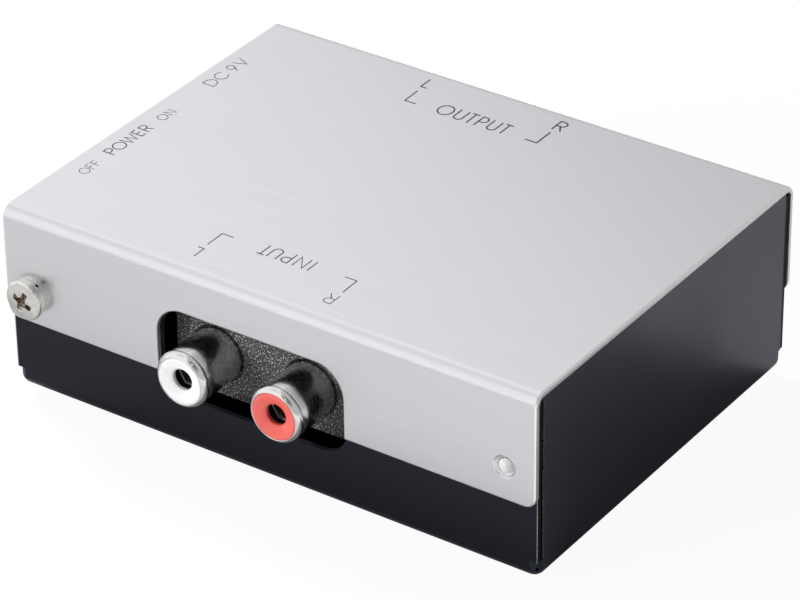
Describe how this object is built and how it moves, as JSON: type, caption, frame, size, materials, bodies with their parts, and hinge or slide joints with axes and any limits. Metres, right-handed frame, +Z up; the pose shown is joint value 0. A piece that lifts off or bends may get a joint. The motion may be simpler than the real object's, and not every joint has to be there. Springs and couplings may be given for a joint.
{
  "type": "phono preamplifier",
  "caption": "Small phono preamplifier: brushed aluminium cover on a black steel tray, phono jacks front and rear, ground screw, power lamp, supply jack and slide switch.",
  "frame": {"origin": "on the surface the feet stand on, under the middle of the cover", "axes": "+Z up, -Y out of the input side, -X out of the supply side"},
  "size_m": [0.0911, 0.076, 0.0315],
  "materials": {
    "cover_aluminium": "brushed",
    "tray_paint": "satin",
    "feet_rubber": "matte",
    "screw_nickel": "polished",
    "washer_steel": "satin",
    "tag_brass": "satin",
    "lamp_clear": "clear",
    "lead_tin": "satin",
    "black_moulding": "textured",
    "jack_nickel": "polished",
    "contact_metal": "satin",
    "insert_white": "gloss",
    "insert_red": "gloss",
    "switch_laminate": "matte",
    "board_green": "satin",
    "capacitor_sleeve": "gloss",
    "film_green": "gloss",
    "resistor_tan": "satin"
  },
  "bodies": {
    "case": {"base_tray": "tray_paint", "top_cover": "cover_aluminium", "rubber_feet": "feet_rubber", "cover_screws": "screw_nickel", "ground_nut": "washer_steel", "ground_tag": "tag_brass", "lamp_lens": "lamp_clear", "lamp_leads": "lead_tin", "input_jack_block": "black_moulding", "input_left_shell": "jack_nickel", "input_right_shell": "jack_nickel", "input_left_insert": "insert_white", "input_right_insert": "insert_red", "input_left_contact": "contact_metal", "input_right_contact": "contact_metal", "input_jack_terminals": "lead_tin", "output_jack_block": "black_moulding", "output_left_shell": "jack_nickel", "output_right_shell": "jack_nickel", "output_left_insert": "insert_white", "output_right_insert": "insert_red", "output_left_contact": "contact_metal", "output_right_contact": "contact_metal", "output_jack_terminals": "lead_tin", "dc_jack_body": "black_moulding", "dc_jack_pin": "jack_nickel", "dc_jack_spring": "jack_nickel", "dc_jack_terminals": "lead_tin", "switch_frame": "jack_nickel", "switch_base": "switch_laminate", "switch_terminals": "lead_tin", "circuit_board": "board_green", "board_standoffs": "washer_steel", "board_screws": "screw_nickel", "amplifier_chips": "black_moulding", "chip_leads": "lead_tin", "electrolytic_capacitors": "capacitor_sleeve", "capacitor_vents": "cover_aluminium", "film_capacitors": "film_green", "resistors": "resistor_tan", "component_leads": "lead_tin", "regulator": "black_moulding", "supply_diode": "black_moulding"},
    "ground_washers": {"ground_lock_washer": "washer_steel", "ground_flat_washer": "washer_steel"},
    "ground_screw": {"ground_screw": "screw_nickel"},
    "switch_slider": {"switch_slider": "black_moulding"}
  },
  "joints": [
    {"name": "switch_slide", "type": "slide", "parent": "case", "child": "switch_slider", "axis": [0, 1, 0], "range_m": [0, 0.0025]},
    {"name": "ground_screw_out", "type": "slide", "parent": "case", "child": "ground_washers", "axis": [0, -1, 0], "range_m": [0, 0.0025]},
    {"name": "ground_screw_turn", "type": "hinge", "parent": "ground_washers", "child": "ground_screw", "pos_m": [-0.0404, -0.0346, 0.0183], "axis": [0, -1, 0], "range_deg": [0, 1800]}
  ],
  "couplings": [
    {"joint": "ground_screw_turn", "follows": "ground_screw_out", "rad_per_m": 12566}
  ]
}
